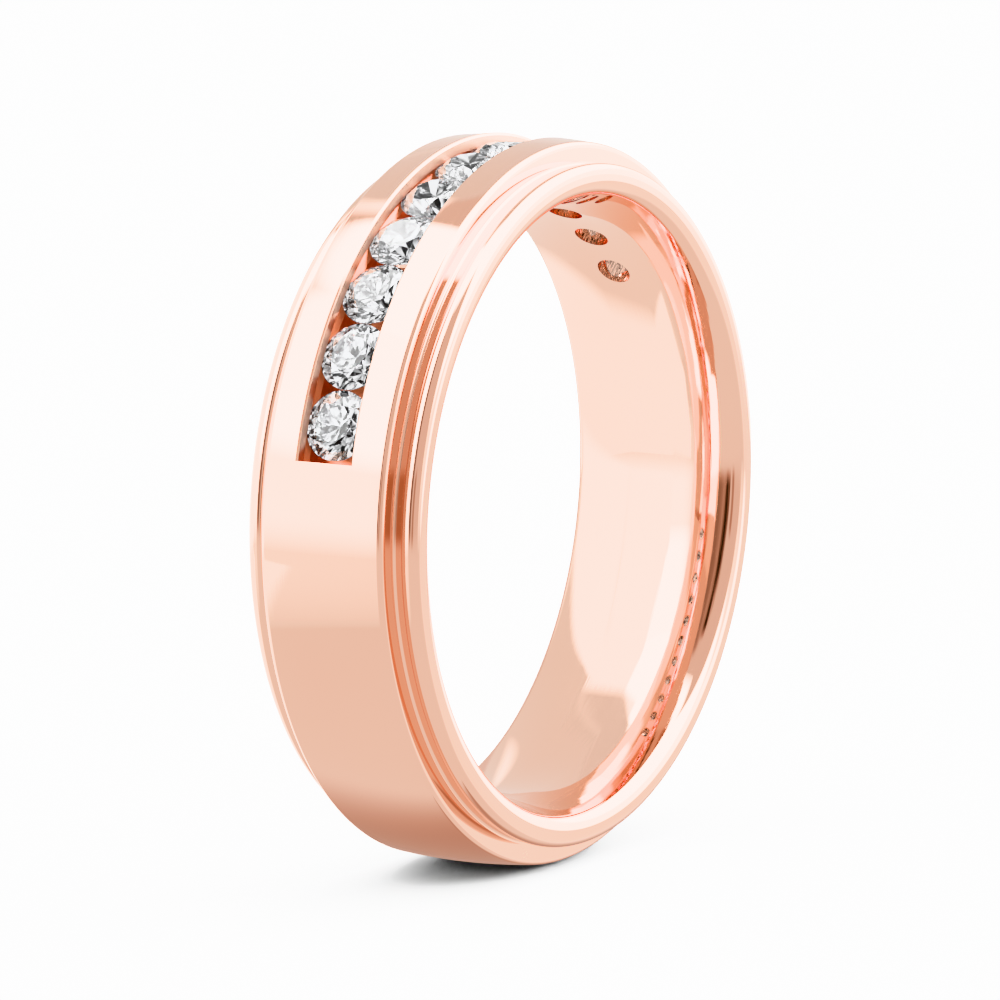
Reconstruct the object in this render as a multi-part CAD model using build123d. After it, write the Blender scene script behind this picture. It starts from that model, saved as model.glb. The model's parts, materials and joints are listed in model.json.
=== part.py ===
from build123d import *
from math import asin, cos, degrees, radians, sin, sqrt, tan
import os

# A comfort-fit wedding band with stepped edges and eleven round brilliants in a channel.
# Millimetres, +Z up. The origin is the centre of the finger bore, whose axis is Y.
# The band stands on its crown, and the row of stones has rolled a little towards -X.

# Finger bore: a short straight land half-way along, then a long curve out to each rounded edge
BORE_RADIUS = 9.9            # US ring size 10
BORE_LAND_LENGTH = 1.5
BORE_CURVE_RADIUS = 6.4      # comfort curve, tangent to the land
BORE_EDGE_ROUND = 0.52

# Section of the band, seen along the finger direction
BAND_WIDTH = 6.4
CROWN_RADIUS = 12.07         # at the middle of the width
CROWN_DOME_RADIUS = 20.0     # gentle crosswise curve of the crown
CROWN_HALF_WIDTH = 2.27      # to the step wall
SHOULDER_ROUND = 0.2
STEP_ROUND = 0.12            # foot of the step wall
LEDGE_RADIUS = 11.19
BEAD_RADIUS = 0.36           # round outer edge of the rim, standing proud of the ledge
BEAD_TOP_RADIUS = 11.31

# Row of stones
STONE_COUNT = 11
STONE_PITCH = 11.74          # degrees
ROW_ROLL = -11.2             # degrees from +Z to the middle of the row, about the bore axis
STONE_TURN = 17              # degrees each stone is turned on its own axis from the one before
GIRDLE_RADIUS = 11.45        # from the bore axis to the middle of each girdle

# Round brilliant
STONE_DIAMETER = 2.33
TABLE_RATIO = 0.57           # table corner to table corner, over the diameter
CROWN_ANGLE = 34.5
PAVILION_ANGLE = 40.75
GIRDLE_THICKNESS = 0.07
STAR_LENGTH = 0.5            # share of the way from table edge to girdle
LOWER_HALF_LENGTH = 0.77     # share of the way from girdle to culet
CULET_RADIUS = 0.02

# Channel that holds the row
CHANNEL_WIDTH = 2.0
CHANNEL_FLOOR_RADIUS = 10.8
CHANNEL_END_GAP = 0.6        # degrees past the last stone's edge
LIP_BEVEL = 0.07             # broken inner edge of each rail
SEAT_CLEARANCE = 0.02        # around the girdle in its groove
AZURE_DIAMETER = 1.15        # light hole under each stone
CUTTER_REACH = 1.0           # how far the drill for a light hole goes past the metal at each end

half_width = BAND_WIDTH / 2
stone_radius = STONE_DIAMETER / 2
girdle_half = GIRDLE_THICKNESS / 2


def arc_drop(radius, run):
    """How far an arc falls away from its tangent after a run along that tangent."""
    return radius - sqrt(radius**2 - run**2)


def polar(radius, azimuth, height):
    """Point at a radius and azimuth (degrees) around the stone's upright axis."""
    return Vector(radius * cos(radians(azimuth)), radius * sin(radians(azimuth)), height)


def pick(sketch, axial, radial):
    """The outline corners at plus and minus one axial place, at one radial place."""
    return [
        v for v in sketch.vertices()
        if abs(abs(v.X) - axial) < 1e-4 and abs(v.Y - radial) < 1e-4
    ]


def band_section():
    """Closed outline of the band: local X runs along the bore axis, local Y is radial."""
    crown_edge = CROWN_RADIUS - arc_drop(CROWN_DOME_RADIUS, CROWN_HALF_WIDTH)
    bead_y = half_width - BEAD_RADIUS
    bead_centre = BEAD_TOP_RADIUS - BEAD_RADIUS
    bead_foot = bead_y - sqrt(BEAD_RADIUS**2 - (LEDGE_RADIUS - bead_centre)**2)
    land_end = BORE_LAND_LENGTH / 2
    bore_corner = BORE_RADIUS + arc_drop(BORE_CURVE_RADIUS, half_width - land_end)

    with BuildSketch() as section:
        with BuildLine():
            ThreePointArc(
                (-CROWN_HALF_WIDTH, crown_edge), (0, CROWN_RADIUS), (CROWN_HALF_WIDTH, crown_edge)
            )
            Line((-land_end, BORE_RADIUS), (land_end, BORE_RADIUS))
            for side in (-1, 1):
                TangentArc(
                    (side * land_end, BORE_RADIUS), (side * half_width, bore_corner), tangent=(side, 0)
                )
                Polyline(
                    (side * CROWN_HALF_WIDTH, crown_edge),
                    (side * CROWN_HALF_WIDTH, LEDGE_RADIUS),
                    (side * bead_foot, LEDGE_RADIUS),
                )
                ThreePointArc(
                    (side * bead_foot, LEDGE_RADIUS),
                    (side * bead_y, BEAD_TOP_RADIUS),
                    (side * half_width, bead_centre),
                )
                Line((side * half_width, bead_centre), (side * half_width, bore_corner))
        make_face()
        fillet(pick(section, CROWN_HALF_WIDTH, crown_edge), SHOULDER_ROUND)
        fillet(pick(section, CROWN_HALF_WIDTH, LEDGE_RADIUS), STEP_ROUND)
        fillet(pick(section, half_width, bore_corner), BORE_EDGE_ROUND)
    return Plane.YZ * section.sketch


def channel_section():
    """Outline of the channel: floor, walls with a groove for the girdles, bevelled lips."""
    wall = CHANNEL_WIDTH / 2
    groove = stone_radius + SEAT_CLEARANCE
    reach = groove - wall
    crown_side = girdle_half + SEAT_CLEARANCE + reach * tan(radians(CROWN_ANGLE))
    pavilion_side = girdle_half + SEAT_CLEARANCE + reach * tan(radians(PAVILION_ANGLE))
    lip_radius = CROWN_RADIUS - arc_drop(CROWN_DOME_RADIUS, wall)
    bevel_foot = lip_radius - LIP_BEVEL
    bevel_reach = 3 * LIP_BEVEL     # far enough to leave the crown
    one_side = [
        (wall, CHANNEL_FLOOR_RADIUS),
        (wall, GIRDLE_RADIUS - pavilion_side),
        (groove, GIRDLE_RADIUS - girdle_half - SEAT_CLEARANCE),
        (groove, GIRDLE_RADIUS + girdle_half + SEAT_CLEARANCE),
        (wall, GIRDLE_RADIUS + crown_side),
        (wall, bevel_foot),
        (wall + bevel_reach, bevel_foot + bevel_reach),
    ]
    other_side = [(-y, r) for y, r in reversed(one_side)]
    with BuildSketch() as section:
        with BuildLine():
            Polyline(*one_side, *other_side, close=True)
        make_face()
    return Plane.YZ * section.sketch


def stone_angles():
    """Angle of each stone about the bore axis, from +Z towards +X."""
    first = ROW_ROLL - STONE_PITCH * (STONE_COUNT - 1) / 2
    return [first + STONE_PITCH * i for i in range(STONE_COUNT)]


def around_bore(angle):
    """Turn about the bore axis, from +Z towards +X."""
    return Rotation(0, angle, 0)


def make_band():
    """The whole casting: revolved section, channel cut, and a light hole under each stone."""
    ring = revolve(band_section(), axis=Axis.Y)
    stone_edge = degrees(asin(stone_radius / GIRDLE_RADIUS))
    angles = stone_angles()
    start = angles[0] - stone_edge - CHANNEL_END_GAP
    span = angles[-1] - angles[0] + 2 * (stone_edge + CHANNEL_END_GAP)
    channel = revolve(around_bore(start) * channel_section(), axis=Axis.Y, revolution_arc=span)
    ring -= channel
    hole_middle = (CHANNEL_FLOOR_RADIUS + BORE_RADIUS) / 2
    hole_length = CHANNEL_FLOOR_RADIUS - BORE_RADIUS + 2 * CUTTER_REACH
    for angle in angles:
        ring -= around_bore(angle) * Pos(0, 0, hole_middle) * Cylinder(AZURE_DIAMETER / 2, hole_length)
    return ring


def grind(stone, a, b, c):
    """Grind one facet: cut away what lies outside the plane through three points."""
    normal = (b - a).cross(c - a).normalized()
    if normal.dot(a) < 0:
        normal = -normal
    return split(stone, bisect_by=Plane(origin=a, z_dir=normal), keep=Keep.BOTTOM)


def make_brilliant():
    """One round brilliant, table up, its girdle's middle at the origin."""
    table_corner = stone_radius * TABLE_RATIO
    crown_height = girdle_half + (stone_radius - table_corner) * tan(radians(CROWN_ANGLE))
    pavilion_depth = girdle_half + stone_radius * tan(radians(PAVILION_ANGLE))
    culet_cut = CULET_RADIUS * tan(radians(PAVILION_ANGLE))
    half_step = cos(radians(22.5))
    star_radius = table_corner * half_step
    star_radius += STAR_LENGTH * (stone_radius - star_radius)
    star_height = girdle_half + (stone_radius - star_radius * half_step) * tan(radians(CROWN_ANGLE))
    low_radius = stone_radius * (1 - LOWER_HALF_LENGTH)
    low_height = (stone_radius - low_radius * half_step) * tan(radians(PAVILION_ANGLE)) + girdle_half

    height = crown_height + pavilion_depth - culet_cut
    stone = Pos(0, 0, crown_height - height / 2) * Cylinder(stone_radius, height)
    for i in range(8):
        main = 45 * i
        star_tip = polar(star_radius, main + 22.5, star_height)
        low_tip = polar(low_radius, main + 22.5, -low_height)
        # bezel facet and pavilion main
        crown_side = polar(stone_radius, main, girdle_half)
        crown_run = Vector(-sin(radians(main)), cos(radians(main)), 0)
        stone = grind(stone, crown_side, crown_side + crown_run, polar(table_corner, main, crown_height))
        low_side = polar(stone_radius, main, -girdle_half)
        stone = grind(stone, low_side, low_side + crown_run, Vector(0, 0, -pavilion_depth))
        # star facet between two table corners
        left = polar(table_corner, main, crown_height)
        right = polar(table_corner, main + 45, crown_height)
        stone = grind(stone, left, right, star_tip)
        # upper and lower halves, either side of the star
        for edge in (main, main + 45):
            upper_a = polar(stone_radius, edge, girdle_half)
            upper_b = polar(stone_radius, main + 22.5, girdle_half)
            stone = grind(stone, upper_a, upper_b, star_tip)
            lower_a = polar(stone_radius, edge, -girdle_half)
            lower_b = polar(stone_radius, main + 22.5, -girdle_half)
            stone = grind(stone, lower_a, lower_b, low_tip)
    return stone


def main():
    os.makedirs("parts", exist_ok=True)
    export_step(make_band(), "parts/band.step")
    brilliant = make_brilliant()
    for number, angle in enumerate(stone_angles(), start=1):
        turned = Rotation(0, 0, STONE_TURN * number) * brilliant
        seated = around_bore(angle) * Pos(0, 0, GIRDLE_RADIUS) * turned
        export_step(seated, f"parts/brilliant_{number:02d}.step")


main()
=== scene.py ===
import json
from math import acos, asin, atan2, ceil, cos, degrees, hypot, radians, sin, sqrt, tan

import bpy
from mathutils import Matrix, Vector


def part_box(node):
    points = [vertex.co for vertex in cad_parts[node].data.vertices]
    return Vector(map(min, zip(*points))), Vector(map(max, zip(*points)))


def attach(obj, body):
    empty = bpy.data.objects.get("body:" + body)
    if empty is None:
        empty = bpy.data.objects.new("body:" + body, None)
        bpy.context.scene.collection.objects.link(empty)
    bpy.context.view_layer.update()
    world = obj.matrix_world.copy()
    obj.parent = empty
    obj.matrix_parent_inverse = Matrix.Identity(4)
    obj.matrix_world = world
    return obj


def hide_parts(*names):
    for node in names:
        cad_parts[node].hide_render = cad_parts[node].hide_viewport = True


# A rose gold wedding band with a channel of round brilliants, polished and lit on a pale floor.
# The scene is in metres. The ring's own sizes are in millimetres and degrees, as in the part.

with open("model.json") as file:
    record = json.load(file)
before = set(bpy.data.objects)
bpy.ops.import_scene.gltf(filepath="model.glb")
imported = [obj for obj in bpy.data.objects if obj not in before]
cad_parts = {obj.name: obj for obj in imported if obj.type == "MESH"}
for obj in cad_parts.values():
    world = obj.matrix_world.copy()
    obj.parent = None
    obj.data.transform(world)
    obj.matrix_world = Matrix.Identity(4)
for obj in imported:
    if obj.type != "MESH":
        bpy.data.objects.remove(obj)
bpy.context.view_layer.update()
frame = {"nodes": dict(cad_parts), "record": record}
band_low, band_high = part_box("band")
finger_bore = next(m for m in frame["record"]["mounts"] if m["name"] == "finger_bore")
stone_names = sorted(name for name in frame["nodes"] if name.startswith("brilliant"))
MM = 0.001

# Section of the band
BORE_RADIUS = finger_bore["dims"]["r_mm"]
BORE_LAND_LENGTH = finger_bore["dims"]["length_mm"]
BORE_CURVE_RADIUS = 6.4
BORE_EDGE_ROUND = 0.52
BAND_WIDTH = (band_high[1] - band_low[1]) / MM
CROWN_RADIUS = 12.07
CROWN_DOME_RADIUS = 20.0
CROWN_HALF_WIDTH = 2.27
SHOULDER_ROUND = 0.2
STEP_ROUND = 0.12
LEDGE_RADIUS = 11.19
BEAD_RADIUS = 0.36
BEAD_TOP_RADIUS = 11.31

# Row of stones and its channel
STONE_PITCH = 11.74
ROW_ROLL = -11.2
GIRDLE_RADIUS = 11.45
STONE_DIAMETER = 2.33
GIRDLE_THICKNESS = 0.07
CROWN_ANGLE = 34.5
PAVILION_ANGLE = 40.75
CHANNEL_WIDTH = 2.0
CHANNEL_FLOOR_RADIUS = 10.8
CHANNEL_END_GAP = 0.6
LIP_BEVEL = 0.07
SEAT_CLEARANCE = 0.02
AZURE_DIAMETER = 1.15

# Fineness of the polished surface
CELL_STEPS = 16              # steps around the ring over one stone
CELL_ROWS = 6                # steps across the channel floor and the bore land
CELL_RINGS = 4               # rings of faces between a light hole and its cell's edge
SMALL_ARC_STEP = 8.0         # degrees of turn per face on the small rounds
WIDE_ROUND_STEP = 5          # the same on the round at the bore's edge
CURVE_STEP = 2               # the same on the comfort curve
CROWN_STEP = 1               # the same across the crown
ROUNDING = 1e-6
WELD_DECIMALS = 5            # corners that agree to this many decimals of a millimetre are one

half_width = BAND_WIDTH / 2
stone_radius = STONE_DIAMETER / 2
dome_centre = CROWN_RADIUS - CROWN_DOME_RADIUS
first_stone = ROW_ROLL - STONE_PITCH * (len(stone_names) - 1) / 2


# ---------------------------------------------------------------- section of the band
# A run is a list of samples (y, r, normal y, normal r): y along the bore axis, r from it.

def line(start, end, steps=1):
    """Straight run, with the metal on the right-hand side."""
    length = hypot(end[0] - start[0], end[1] - start[1])
    normal = ((start[1] - end[1]) / length, (end[0] - start[0]) / length)
    samples = []
    for i in range(steps + 1):
        share = i / steps
        y = start[0] + (end[0] - start[0]) * share
        r = start[1] + (end[1] - start[1]) * share
        samples.append((y, r, *normal))
    return samples


def arc(centre, radius, begin, end, step=SMALL_ARC_STEP, outward=1):
    """Round run about a centre, from one angle to another. Outward is -1 on a hollow round."""
    count = max(2, ceil(abs(end - begin) / step))
    samples = []
    for i in range(count + 1):
        turn = radians(begin + (end - begin) * i / count)
        y = centre[0] + radius * cos(turn)
        r = centre[1] + radius * sin(turn)
        samples.append((y, r, outward * cos(turn), outward * sin(turn)))
    return samples


def mirrored(runs):
    """The same runs on the other side of the band, in the order that goes on along the outline."""
    return [[(-y, r, -ny, nr) for y, r, ny, nr in reversed(run)] for run in reversed(runs)]


def lip_point():
    """Where the bevel of the channel's lip meets the crown."""
    wall = CHANNEL_WIDTH / 2
    wall_top = dome_centre + sqrt(CROWN_DOME_RADIUS**2 - wall**2) - LIP_BEVEL
    rise = wall_top - wall - dome_centre
    y = (sqrt(2 * CROWN_DOME_RADIUS**2 - rise**2) - rise) / 2
    return (y, wall_top + y - wall), (wall, wall_top)


def side_runs():
    """From the channel's lip down one side of the section to the straight land of the bore."""
    lip, _ = lip_point()
    round_y = CROWN_HALF_WIDTH - SHOULDER_ROUND
    round_r = dome_centre + sqrt((CROWN_DOME_RADIUS - SHOULDER_ROUND)**2 - round_y**2)
    lip_turn = degrees(acos(lip[0] / CROWN_DOME_RADIUS))
    round_turn = degrees(atan2(round_r - dome_centre, round_y))
    foot_y = CROWN_HALF_WIDTH + STEP_ROUND
    foot_r = LEDGE_RADIUS + STEP_ROUND
    bead_y = half_width - BEAD_RADIUS
    bead_r = BEAD_TOP_RADIUS - BEAD_RADIUS
    bead_turn = 180 - degrees(asin((LEDGE_RADIUS - bead_r) / BEAD_RADIUS))
    bead_foot = bead_y + BEAD_RADIUS * cos(radians(bead_turn))
    land_end = BORE_LAND_LENGTH / 2
    curve_r = BORE_RADIUS + BORE_CURVE_RADIUS
    edge_y = half_width - BORE_EDGE_ROUND
    edge_r = curve_r - sqrt((BORE_CURVE_RADIUS - BORE_EDGE_ROUND)**2 - (edge_y - land_end)**2)
    edge_turn = degrees(atan2(edge_r - curve_r, edge_y - land_end))
    return [
        arc((0, dome_centre), CROWN_DOME_RADIUS, lip_turn, round_turn, step=CROWN_STEP),
        arc((round_y, round_r), SHOULDER_ROUND, round_turn, 0),
        line((CROWN_HALF_WIDTH, round_r), (CROWN_HALF_WIDTH, foot_r)),
        arc((foot_y, foot_r), STEP_ROUND, 180, 270, outward=-1),
        line((foot_y, LEDGE_RADIUS), (bead_foot, LEDGE_RADIUS)),
        arc((bead_y, bead_r), BEAD_RADIUS, bead_turn, 0),
        line((half_width, bead_r), (half_width, edge_r)),
        arc((edge_y, edge_r), BORE_EDGE_ROUND, 0, edge_turn, step=WIDE_ROUND_STEP),
        arc((land_end, curve_r), BORE_CURVE_RADIUS, edge_turn, -90, step=CURVE_STEP),
    ]


def crown_run():
    """Over the top of the crown, where there is no channel."""
    lip, _ = lip_point()
    lip_turn = degrees(acos(lip[0] / CROWN_DOME_RADIUS))
    return arc((0, dome_centre), CROWN_DOME_RADIUS, 180 - lip_turn, lip_turn, step=CROWN_STEP)


def floor_run():
    """Across the channel's floor."""
    wall = CHANNEL_WIDTH / 2
    return line((-wall, CHANNEL_FLOOR_RADIUS), (wall, CHANNEL_FLOOR_RADIUS), CELL_ROWS)


def wall_runs():
    """One wall of the channel, from its floor up past the girdle groove to the bevelled lip."""
    lip, wall_top = lip_point()
    wall = CHANNEL_WIDTH / 2
    groove = stone_radius + SEAT_CLEARANCE
    half_groove = GIRDLE_THICKNESS / 2 + SEAT_CLEARANCE
    crown_side = half_groove + (groove - wall) * tan(radians(CROWN_ANGLE))
    pavilion_side = half_groove + (groove - wall) * tan(radians(PAVILION_ANGLE))
    corners = [
        (wall, CHANNEL_FLOOR_RADIUS),
        (wall, GIRDLE_RADIUS - pavilion_side),
        (groove, GIRDLE_RADIUS - half_groove),
        (groove, GIRDLE_RADIUS + half_groove),
        (wall, GIRDLE_RADIUS + crown_side),
        wall_top,
        lip,
    ]
    return [line(a, b) for a, b in zip(corners, corners[1:])]


# ---------------------------------------------------------------- faces of the band
# A face is a list of corners, each a point and its normal.

def corner(angle, sample):
    """Sample of the section, turned about the bore axis from +Z towards +X."""
    y, r, normal_y, normal_r = sample
    s, c = sin(radians(angle)), cos(radians(angle))
    return Vector((r * s, y, r * c)), Vector((normal_r * s, normal_y, normal_r * c))


def strips(runs, stations):
    """Faces of the runs swept round the ring through the stations."""
    faces = []
    for run in runs:
        for a, b in zip(run, run[1:]):
            for start, end in zip(stations, stations[1:]):
                faces.append([corner(start, a), corner(start, b), corner(end, b), corner(end, a)])
    return faces


def end_wall(angle, side):
    """Flat face that closes the channel at one end. Side is 1 at the start of the row and -1 at its end."""
    outline = mirrored(wall_runs()) + [floor_run()] + wall_runs() + [crown_run()[::-1]]
    s, c = sin(radians(angle)), cos(radians(angle))
    normal = Vector((c, 0, -s)) * side
    return [[(corner(angle, sample)[0], normal) for run in outline for sample in run[:-1]]]


def hole_edge(middle, radius, turn):
    """Point of a light hole's edge on the cylinder of the given radius, as an angle and a y."""
    x = AZURE_DIAMETER / 2 * cos(turn)
    return middle + degrees(asin(x / radius)), AZURE_DIAMETER / 2 * sin(turn)


def cell_outline(middle, half_length):
    """Corners of one stone's cell, as angles and ys, once round."""
    half_pitch = STONE_PITCH / 2
    outline = []
    for i in range(CELL_STEPS):
        outline.append((-half_pitch + STONE_PITCH * i / CELL_STEPS, -half_length))
    for i in range(CELL_ROWS):
        outline.append((half_pitch, -half_length + 2 * half_length * i / CELL_ROWS))
    for i in range(CELL_STEPS):
        outline.append((half_pitch - STONE_PITCH * i / CELL_STEPS, half_length))
    for i in range(CELL_ROWS):
        outline.append((-half_pitch, half_length - 2 * half_length * i / CELL_ROWS))
    return [(middle + offset, y) for offset, y in outline]


def holed_cell(middle, radius, half_length, side):
    """Faces of a piece of cylinder under one stone, with the light hole through it, and the hole's turns.

    Side is 1 where the face looks away from the bore axis and -1 where it looks towards it.
    """
    rings = []
    outline = cell_outline(middle, half_length)
    turns = [atan2(y, radians(angle - middle) * radius) for angle, y in outline]
    edge = [hole_edge(middle, radius, turn) for turn in turns]
    for k in range(CELL_RINGS + 1):
        share = k / CELL_RINGS
        ring = []
        for (a0, y0), (a1, y1) in zip(edge, outline):
            ring.append(corner(a0 + (a1 - a0) * share, (y0 + (y1 - y0) * share, radius, 0, side)))
        rings.append(ring)
    return loft(rings), turns


def loft(rings):
    """Faces between closed rings of corners."""
    faces = []
    for inner, outer in zip(rings, rings[1:]):
        for i in range(len(inner)):
            j = (i + 1) % len(inner)
            faces.append([inner[i], inner[j], outer[j], outer[i]])
    return faces


def light_hole(middle):
    """Wall of the hole under one stone, with the pieces of channel floor and bore land round its ends."""
    floor, floor_turns = holed_cell(middle, CHANNEL_FLOOR_RADIUS, CHANNEL_WIDTH / 2, 1)
    land, land_turns = holed_cell(middle, BORE_RADIUS, BORE_LAND_LENGTH / 2, -1)
    across = Vector((cos(radians(middle)), 0, -sin(radians(middle))))
    along = Vector((0, 1, 0))
    rings = []
    for radius, turns in ((CHANNEL_FLOOR_RADIUS, floor_turns), (BORE_RADIUS, land_turns)):
        ring = []
        for turn in turns:
            angle, y = hole_edge(middle, radius, turn)
            ring.append((corner(angle, (y, radius, 0, 1))[0], -across * cos(turn) - along * sin(turn)))
        rings.append(ring)
    return floor + land + loft(rings)


def steps_between(start, end, step):
    """Even angles from start to end, no further apart than the step."""
    count = ceil((end - start) / step - ROUNDING)
    return [start + (end - start) * i / count for i in range(count + 1)]


def band_faces():
    """All the faces of the band: swept sides, crown, channel with its ends, and the light holes."""
    stone_edge = degrees(asin(stone_radius / GIRDLE_RADIUS))
    last_stone = first_stone + STONE_PITCH * (len(stone_names) - 1)
    step = STONE_PITCH / CELL_STEPS
    channel_start = first_stone - stone_edge - CHANNEL_END_GAP
    channel_end = last_stone + stone_edge + CHANNEL_END_GAP
    row_start = first_stone - STONE_PITCH / 2
    row_end = last_stone + STONE_PITCH / 2
    row = steps_between(row_start, row_end, step)
    bare = steps_between(channel_end, channel_start + 360, step)
    land_end = BORE_LAND_LENGTH / 2
    land_run = line((land_end, BORE_RADIUS), (-land_end, BORE_RADIUS), CELL_ROWS)
    channel = [channel_start, *row, channel_end]

    faces = strips(side_runs() + mirrored(side_runs()), channel + bare[1:])
    faces += strips([land_run], [row_end, *bare, row_start + 360])
    faces += strips([crown_run()], bare)
    faces += strips(wall_runs() + mirrored(wall_runs()), channel)
    faces += strips([floor_run()], [channel_start, row_start])
    faces += strips([floor_run()], [row_end, channel_end])
    faces += end_wall(channel_start, 1)
    faces += end_wall(channel_end, -1)
    for i in range(len(stone_names)):
        faces += light_hole(first_stone + STONE_PITCH * i)
    return faces


def looks_towards(face):
    """Direction that a flat face looks in, by the order of its corners."""
    total = Vector()
    for (a, _), (b, _) in zip(face, face[1:]):
        total += (a - face[0][0]).cross(b - face[0][0])
    return total


def welded_mesh(name, faces):
    """Mesh in metres from faces whose corners carry their own normals. Equal points become one vertex."""
    index, points, polygons, normals = {}, [], [], []
    for face in faces:
        if looks_towards(face).dot(face[0][1]) < 0:
            face = face[::-1]
        loop = []
        for point, normal in face:
            key = tuple(round(value, WELD_DECIMALS) + 0.0 for value in point)
            if key not in index:
                index[key] = len(points)
                points.append(point * MM)
            loop.append(index[key])
            normals.append(normal.normalized())
        polygons.append(loop)
    mesh = bpy.data.meshes.new(name)
    mesh.from_pydata(points, [], polygons)
    mesh.polygons.foreach_set("use_smooth", [True] * len(polygons))
    mesh.normals_split_custom_set(normals)
    mesh.validate()
    return mesh


# ---------------------------------------------------------------- materials
# A pair of limits is the value at which a change starts and the value at which it is complete.
GOLD_LIGHTER = (0.935, 0.62, 0.485, 1)
GOLD_DARKER = (0.92, 0.595, 0.46, 1)
# painted shade: the darker, redder colour of the channel's floor and lower walls
GOLD_PAINTED_SHADE = (0.6, 0.2, 0.11, 1)
TONE_SCALE = 90
TONE_LIMITS = (0.3, 0.7)
MARKS_SCALE = (400, 9000, 400)        # polishing marks are long round the ring and fine across it
MARKS_LIMITS = (0.3, 0.8)
POLISHED_ROUGHNESS = (0.02, 0.06)     # least and most
EDGE_LIMITS = (0.52, 0.62)            # of pointiness
EDGE_WEAR = 0.05                      # more roughness on worn edges
CHANNEL_SATIN = 0.26                  # more roughness inside the channel
MARKS_STRENGTH = 0.06
MARKS_DEPTH = 0.00001
# lowest, highest and softness, in millimetres: across the channel, and outward from the bore
CHANNEL_SPAN = (-1.2, 1.2, 0.02)
CHANNEL_DEPTH = (10.785, 11.99, 0.01)
CHANNEL_PAINTED_SHADE_DEPTH = (11.9, 11.4)          # how far out the painted shade deep in the channel starts, and where it is full

DIAMOND_COOL = (0.95, 0.965, 1, 1)
DIAMOND_CLEAR = (1, 1, 1, 1)
DIAMOND_IOR = 2.417
DIAMOND_SHINE = (0.1, 0.1, 0.1, 1)    # tint of the reflection of a face seen square on
BODY_SCALE = 700
HAZE_SCALE = 2500
HAZE_LIMITS = (0.5, 0.8)
HAZE_ROUGHNESS = (0, 0.012)           # least and most


class Nodes:
    """Short way to add linked nodes to a tree."""

    def __init__(self, tree):
        self.tree = tree

    def set(self, socket, value):
        """Link a socket's value, or write a fixed one."""
        if isinstance(value, bpy.types.NodeSocket):
            self.tree.links.new(value, socket)
        elif value is not None:
            socket.default_value = value

    def add(self, kind, *inputs, output=0, **settings):
        """New node with its settings and first inputs, as the chosen output."""
        node = self.tree.nodes.new(kind)
        for key, value in settings.items():
            setattr(node, key, value)
        for socket, value in zip(node.inputs, inputs):
            self.set(socket, value)
        return node.outputs[output]

    def math(self, operation, *inputs):
        return self.add("ShaderNodeMath", *inputs, operation=operation)

    def vector(self, operation, *inputs, output=0):
        return self.add("ShaderNodeVectorMath", *inputs, operation=operation, output=output)

    def noise(self, place, scale, detail):
        return self.add("ShaderNodeTexNoise", place, None, scale, detail)

    def ramp(self, value, start, end, low=0, high=1):
        """Smooth change from low at start to high at end."""
        return self.add("ShaderNodeMapRange", value, start, end, low, high, interpolation_type="SMOOTHSTEP")

    def between(self, value, low, high, soft):
        """1 between two places, 0 outside, with soft edges."""
        above = self.ramp(value, low - soft / 2, low + soft / 2)
        below = self.ramp(value, high + soft / 2, high - soft / 2)
        return self.math("MULTIPLY", above, below)

    def mix_colour(self, share, first, second):
        """Mix of two colours, each a fixed one or a socket."""
        mixed = self.add("ShaderNodeMix", data_type="RGBA", output=2)
        # the colour sockets come after those for numbers and vectors
        factor, _, _, _, _, _, colour_a, colour_b = mixed.node.inputs[:8]
        for socket, value in ((factor, share), (colour_a, first), (colour_b, second)):
            self.set(socket, value)
        return mixed


def node_material(name):
    """New material, with its nodes and the Principled shader that they start with."""
    material = bpy.data.materials.new(name)
    material.use_nodes = True
    tree = material.node_tree
    return material, Nodes(tree), tree.nodes["Principled BSDF"]


def in_metres(sizes):
    return [size * MM for size in sizes]


def rose_gold():
    """Mirror polish outside and in the bore. The channel and its light holes are satin, and the channel has
    painted shade, darker and redder towards its floor.
    """
    material, nodes, shader = node_material("rose_gold")
    place = nodes.add("ShaderNodeTexCoord", output="Object")
    across = nodes.add("ShaderNodeSeparateXYZ", place, output="Y")
    radius = nodes.vector("LENGTH", nodes.vector("MULTIPLY", place, (1, 0, 1)), output="Value")
    inside = nodes.math("MULTIPLY", nodes.between(across, *in_metres(CHANNEL_SPAN)),
                        nodes.between(radius, *in_metres(CHANNEL_DEPTH)))
    # painted shade, full deep in the channel and gone towards its lip
    low = nodes.math("MULTIPLY", inside, nodes.ramp(radius, *in_metres(CHANNEL_PAINTED_SHADE_DEPTH)))
    # slow change of tone over the polished metal
    tone = nodes.ramp(nodes.noise(place, TONE_SCALE, 2), *TONE_LIMITS)
    polished = nodes.mix_colour(tone, GOLD_DARKER, GOLD_LIGHTER)
    nodes.set(shader.inputs["Base Color"], nodes.mix_colour(low, polished, GOLD_PAINTED_SHADE))
    # fine polishing marks that run round the band, worn edges, and a rougher channel
    marks = nodes.noise(nodes.vector("MULTIPLY", place, MARKS_SCALE), 1, 3)
    gloss = nodes.ramp(marks, *MARKS_LIMITS, *POLISHED_ROUGHNESS)
    edge = nodes.ramp(nodes.add("ShaderNodeNewGeometry", output="Pointiness"), *EDGE_LIMITS)
    worn = nodes.math("MULTIPLY_ADD", edge, EDGE_WEAR, gloss)
    nodes.set(shader.inputs["Roughness"], nodes.math("MULTIPLY_ADD", inside, CHANNEL_SATIN, worn))
    nodes.set(shader.inputs["Normal"], nodes.add("ShaderNodeBump", MARKS_STRENGTH, MARKS_DEPTH, None, marks))
    shader.inputs["Metallic"].default_value = 1
    return material


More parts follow.
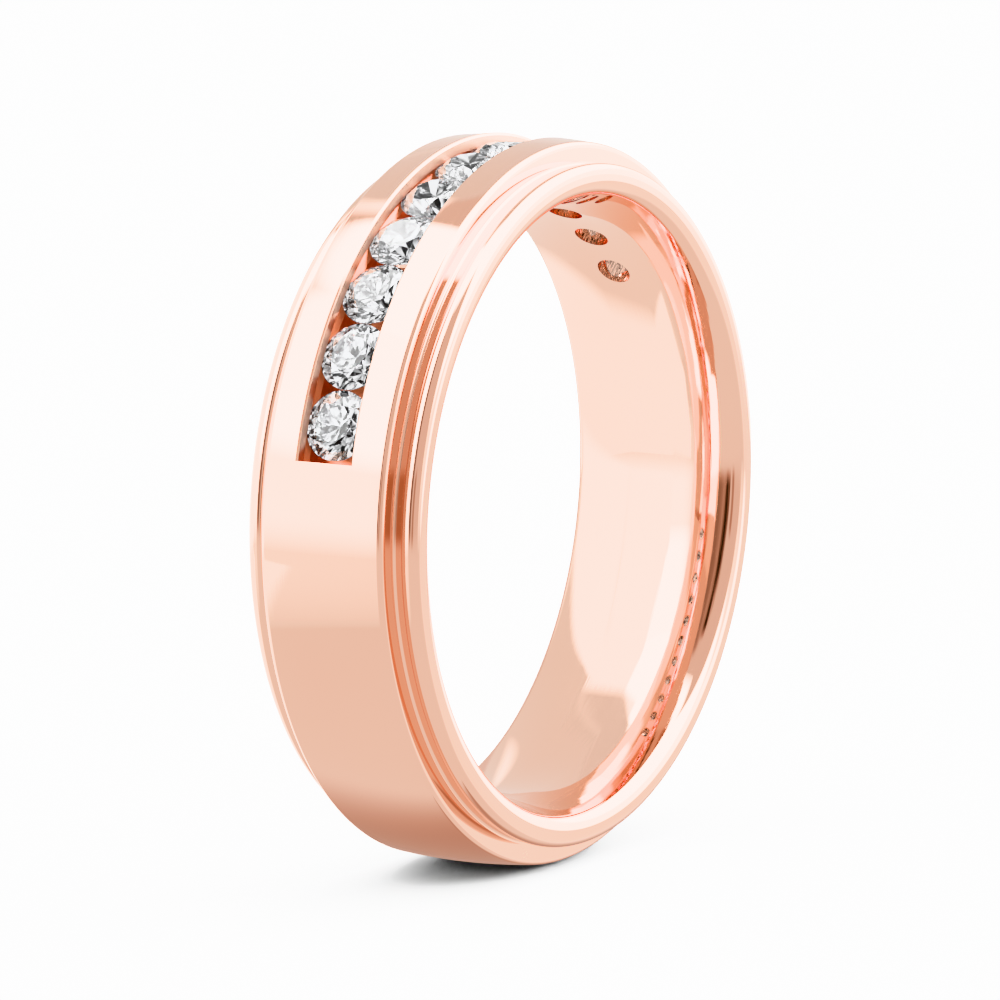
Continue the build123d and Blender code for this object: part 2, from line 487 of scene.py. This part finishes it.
def diamond():
    """Clear polished stone with a trace of body colour and of polishing haze."""
    material, nodes, shader = node_material("diamond")
    place = nodes.add("ShaderNodeTexCoord", output="Object")
    body = nodes.noise(place, BODY_SCALE, 2)
    nodes.set(shader.inputs["Base Color"], nodes.mix_colour(body, DIAMOND_COOL, DIAMOND_CLEAR))
    haze = nodes.noise(place, HAZE_SCALE, 3)
    nodes.set(shader.inputs["Roughness"], nodes.ramp(haze, *HAZE_LIMITS, *HAZE_ROUGHNESS))
    shader.inputs["IOR"].default_value = DIAMOND_IOR
    shader.inputs["Specular Tint"].default_value = DIAMOND_SHINE
    shader.inputs["Transmission Weight"].default_value = 1
    return material


# ---------------------------------------------------------------- pieces
def make_band():
    """Polished band in place of the CAD one. Light inside the stones doesn't see it."""
    mesh = welded_mesh("band_polished", band_faces())
    band = bpy.data.objects.new("band_polished", mesh)
    bpy.context.scene.collection.objects.link(band)
    mesh.materials.append(rose_gold())
    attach(band, "root")
    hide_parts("band")
    band.visible_transmission = False
    return band


def dress_stones():
    """Give the CAD stones their finish."""
    finish = diamond()
    for name in stone_names:
        stone = frame["nodes"][name]
        stone.data.materials.clear()
        stone.data.materials.append(finish)


# ---------------------------------------------------------------- studio
# Directions are azimuths from -Y towards +X, and elevations above the horizon, in degrees.
# Light levels are relative: 1 is about the level at which plain white paper looks white.
ROOM_LIGHT = 0.86
GROUND_LIGHT = 0.97
FRONT_GROUND_LIGHT = 1.5
BACK_GROUND_SHADE = 0.37
HORIZON = (-12, -2)                  # elevations between which ground turns into room
WARM = (1, 0.64, 0.51, 1)            # colour of the dim parts of the room
NEUTRAL = (1, 1, 1, 1)
WARM_TO_NEUTRAL = (0.5, 1.1)         # light levels between which the room's colour changes
# A window is azimuths from and to, lowest and highest elevation, softness sideways and upright.
FRONT_GROUND = (15, 85, -45, 90, 15, 10)
BACK_GROUND = (95, 150, -90, 90, 22, 5)
# windows and their light
SOFTBOXES = [
    ((194, 257, 14, 90, 8, 8), 16),
    ((158, 257, 50, 90, 4, 3), 18),
    ((190, 257, -8, 90, 8, 8), 7),
    ((165, 262, -30, 90, 15, 20), 2),
    ((-2, 102, 14, 90, 4, 8), 20),
    ((28, 102, -8, 90, 6, 1.5), 11),
    ((-2, 102, -6, 90, 4, 14), 3),
    ((-180, 180, 72, 90, 5, 5), 20),
]
# windows and how much of the light they hold back
FLAGS = [
    ((-104, -84, -4, 60, 3, 4), 0.6),
    ((-83, -80.5, -4, 52, 1.2, 4), 0.98),
    ((-68, -53, -6, 14, 3, 3), 0.35),
]
# Cards that only polished surfaces see, in millimetres: the axis each one lies across and its place
# on that axis, corners on the other two axes, softness of the edges, light. The bright ones fill the
# bore with soft light from behind and below. The dim ones hide part of them from the rails.
CARDS = [
    ("y", 18.1, [(-27, -4), (6, -4), (6, 29), (-8, 29), (-27, 12)], 1.5, 6.5),
    ("y", 18.2, [(1, 14), (36, 16), (36, 49), (1, 49)], 4, 6.5),
    ("y", 18, [(4, 0), (40, -6), (40, 25), (1, 24), (1, 17)], 1.5, 0.95),
    ("y", 17.9, [(2, 20), (40, 20), (40, 70), (10, 52), (2, 32)], 4, 0.9),
    ("y", 3.7, [(-8.5, -5.8), (-3, -9), (5.6, -8.5), (5.6, -0.7), (-8.5, -2.9)], 0.6, 4),
    ("z", -12.08, [(-12, 9), (-1, 4.5), (40, 42), (40, 110), (-50, 110), (-50, 29)], 3, 4),
    ("z", -12.09, [(-5, 3.5), (40, 3.5), (70, 60), (-5, 60)], 1.5, 1.1),
]
# What the stones see through their facets: many small lamps, and windows with their light
STONE_DOME_RADIUS = 0.02
STONE_LAMP_SCALE = 420
STONE_LAMP_LIMITS = (0.48, 0.55)
STONE_LAMP_LIGHT = (0.06, 1.25)      # between the lamps, and on them
DIMMER_LIMITS = (0.35, 0.65)
DIMMER_SHARE = (0.35, 1.1)           # least and most of a lamp's light
STONE_WINDOWS = [
    ((158, 257, 40, 90, 8, 8), 0.5),
    ((-2, 102, 40, 90, 6, 8), 0.5),
]
# Floor, the light that only it sees, and the surround behind it, in metres
FLOOR_SIZE = 6
FLOOR_COLOUR = (0.8, 0.8, 0.8, 1)
FLOOR_DOME_RADIUS = 60
FLOOR_LIGHT_LIMITS = (25, 75)        # elevations
FLOOR_LIGHT = (0.9, 7)               # below the first and above the second
BACKDROP_RADIUS = 1.2
BACKDROP_LIGHT = 4

CAMERA_AZIMUTH = -59.96
CAMERA_ELEVATION = 9.375
CAMERA_ROLL = -0.26
CAMERA_PLACE = (-0.0001936, -0.0000427, 0.36446)     # to the side, up and back, in metres
CAMERA_LENS = 396.8
SENSOR_WIDTH = 36
NEAREST_SEEN = 0.01


def window(nodes, direction, elevation, start, end, lowest, highest, side_soft, upright_soft):
    """1 inside a window of directions, 0 outside, with soft edges."""
    middle = (start + end) / 2
    half_wide = (end - start) / 2
    towards = (sin(radians(middle)), -cos(radians(middle)), 0)
    flat = nodes.vector("MULTIPLY", direction, (1, 1, 0))
    along = nodes.vector("DOT_PRODUCT", nodes.vector("NORMALIZE", flat), towards, output="Value")
    away = nodes.math("DEGREES", nodes.math("ARCCOSINE", along))
    mask = nodes.ramp(away, half_wide + side_soft, half_wide - side_soft)
    above = nodes.ramp(elevation, lowest - upright_soft, lowest + upright_soft)
    mask = nodes.math("MULTIPLY", mask, above)
    if highest < 90:
        below = nodes.ramp(elevation, highest + upright_soft, highest - upright_soft)
        mask = nodes.math("MULTIPLY", mask, below)
    return mask


def brightest(nodes, light, direction, elevation, windows):
    """The light, with each window added where it is brighter."""
    for shape, level in windows:
        mask = window(nodes, direction, elevation, *shape)
        light = nodes.math("MAXIMUM", light, nodes.math("MULTIPLY", mask, level))
    return light


def height_angle(nodes, direction):
    """Elevation of a direction, in degrees."""
    up = nodes.add("ShaderNodeSeparateXYZ", direction, output="Z")
    return nodes.math("DEGREES", nodes.math("ARCSINE", up))


def make_world():
    """Room of soft windows and dark flags over a ground, warmer where it is dim."""
    world = bpy.data.worlds.new("studio")
    bpy.context.scene.world = world
    world.use_nodes = True
    nodes = Nodes(world.node_tree)
    direction = nodes.add("ShaderNodeTexCoord", output="Generated")
    elevation = height_angle(nodes, direction)
    back = window(nodes, direction, elevation, *BACK_GROUND)
    front = window(nodes, direction, elevation, *FRONT_GROUND)
    ground = nodes.math("MULTIPLY_ADD", back, -BACK_GROUND_SHADE, GROUND_LIGHT)
    ground = nodes.math("MAXIMUM", ground, nodes.math("MULTIPLY", front, FRONT_GROUND_LIGHT))
    light = nodes.ramp(elevation, *HORIZON, ground, ROOM_LIGHT)
    light = brightest(nodes, light, direction, elevation, SOFTBOXES)
    for shape, shade in FLAGS:
        mask = window(nodes, direction, elevation, *shape)
        light = nodes.math("MULTIPLY", light, nodes.math("MULTIPLY_ADD", mask, -shade, 1))
    background = world.node_tree.nodes["Background"]
    tint = nodes.mix_colour(nodes.ramp(light, *WARM_TO_NEUTRAL), WARM, NEUTRAL)
    nodes.set(background.inputs["Color"], tint)
    nodes.set(background.inputs["Strength"], light)


def matt(shader, colour):
    """Make a shader dull all over, in one colour."""
    shader.inputs["Base Color"].default_value = colour
    shader.inputs["Roughness"].default_value = 1
    shader.inputs["Specular IOR Level"].default_value = 0


def glow_material(name, light=1):
    """Material that only gives light."""
    material, nodes, shader = node_material(name)
    matt(shader, (0, 0, 0, 1))
    shader.inputs["Emission Color"].default_value = NEUTRAL
    shader.inputs["Emission Strength"].default_value = light
    return material, nodes, shader


def seen_only_by(thing, ray_kind):
    """Hide a thing from every kind of ray but one."""
    for ray in ("camera", "diffuse", "glossy", "transmission", "shadow", "volume_scatter"):
        setattr(thing, "visible_" + ray, ray == ray_kind)


def make_card(number, axis, place, corners, soft, light):
    """Card with soft edges, flat across one axis. Its outline has no hollow corner."""
    name = f"card_{number}"
    across = "xyz".index(axis)
    points = []
    for pair in corners:
        values = list(pair)
        values.insert(across, place)
        points.append(Vector(values) * MM)
    up = (points[1] - points[0]).cross(points[2] - points[1]).normalized()
    mesh = bpy.data.meshes.new(name)
    mesh.from_pydata(points, [], [range(len(points))])
    card = bpy.data.objects.new(name, mesh)
    bpy.context.scene.collection.objects.link(card)
    material, nodes, shader = glow_material(name, light)
    here = nodes.add("ShaderNodeTexCoord", output="Object")
    mask = 1
    for a, b in zip(points, points[1:] + points[:1]):
        inward = up.cross(b - a).normalized()
        offset = nodes.vector("SUBTRACT", here, tuple(a))
        depth = nodes.vector("DOT_PRODUCT", offset, tuple(inward), output="Value")
        mask = nodes.math("MULTIPLY", mask, nodes.ramp(depth, 0, soft * MM))
    nodes.set(shader.inputs["Alpha"], mask)
    mesh.materials.append(material)
    seen_only_by(card, "glossy")


def make_dome(name, radius, ray_kind, light=1):
    """Glowing sphere about the ring, seen by one kind of ray only."""
    bpy.ops.mesh.primitive_uv_sphere_add(segments=48, ring_count=24, radius=radius)
    dome = bpy.context.object
    dome.name = name
    material, nodes, shader = glow_material(name, light)
    dome.data.materials.append(material)
    seen_only_by(dome, ray_kind)
    return nodes, shader.inputs["Emission Strength"]


def make_stone_light():
    """Dome that only light through the stones sees, so that their facets stay crisp and neutral."""
    nodes, strength = make_dome("stone_light", STONE_DOME_RADIUS, "transmission")
    place = nodes.add("ShaderNodeTexCoord", output="Object")
    direction = nodes.vector("NORMALIZE", place)
    elevation = height_angle(nodes, direction)
    lamps = nodes.noise(place, STONE_LAMP_SCALE, 2)
    light = nodes.ramp(lamps, *STONE_LAMP_LIMITS, *STONE_LAMP_LIGHT)
    dimmer = nodes.noise(place, 2 * STONE_LAMP_SCALE, 2)
    light = nodes.math("MULTIPLY", light, nodes.ramp(dimmer, *DIMMER_LIMITS, *DIMMER_SHARE))
    nodes.set(strength, brightest(nodes, light, direction, elevation, STONE_WINDOWS))


def make_floor_light():
    """Dome that lights the floor only, mostly from overhead, for a soft grey shadow under the ring."""
    nodes, strength = make_dome("floor_light", FLOOR_DOME_RADIUS, "diffuse")
    place = nodes.add("ShaderNodeTexCoord", output="Object")
    elevation = height_angle(nodes, nodes.vector("NORMALIZE", place))
    nodes.set(strength, nodes.ramp(elevation, *FLOOR_LIGHT_LIMITS, *FLOOR_LIGHT))


def make_floor():
    """Plain white floor. Only the camera sees it: the polished metal reflects the room instead."""
    bpy.ops.mesh.primitive_plane_add(size=FLOOR_SIZE, location=(0, 0, -CROWN_RADIUS * MM))
    floor = bpy.context.object
    floor.name = "floor"
    material, _, shader = node_material("floor")
    matt(shader, FLOOR_COLOUR)
    floor.data.materials.append(material)
    seen_only_by(floor, "camera")


def make_camera():
    camera = bpy.data.objects.new("camera", bpy.data.cameras.new("camera"))
    bpy.context.scene.collection.objects.link(camera)
    bpy.context.scene.camera = camera
    camera.data.lens = CAMERA_LENS
    camera.data.sensor_width = SENSOR_WIDTH
    camera.data.clip_start = NEAREST_SEEN
    turn = Matrix.Rotation(radians(CAMERA_AZIMUTH), 4, "Z")
    tilt = Matrix.Rotation(radians(90 - CAMERA_ELEVATION), 4, "X")
    roll = Matrix.Rotation(radians(CAMERA_ROLL), 4, "Z")
    camera.matrix_world = turn @ tilt @ roll @ Matrix.Translation(CAMERA_PLACE)


def set_light_paths():
    """Enough bounces for the stones and the bore, and no glints from the gold on the floor."""
    cycles = bpy.context.scene.cycles
    cycles.caustics_reflective = False
    cycles.max_bounces = 24
    cycles.glossy_bounces = 16
    cycles.transmission_bounces = 24


make_band()
dress_stones()
make_floor()
make_dome("backdrop", BACKDROP_RADIUS, "camera", BACKDROP_LIGHT)
make_world()
for number, card in enumerate(CARDS, start=1):
    make_card(number, *card)
make_stone_light()
make_floor_light()
make_camera()
set_light_paths()
bpy.context.scene.view_settings.view_transform = "Khronos PBR Neutral"
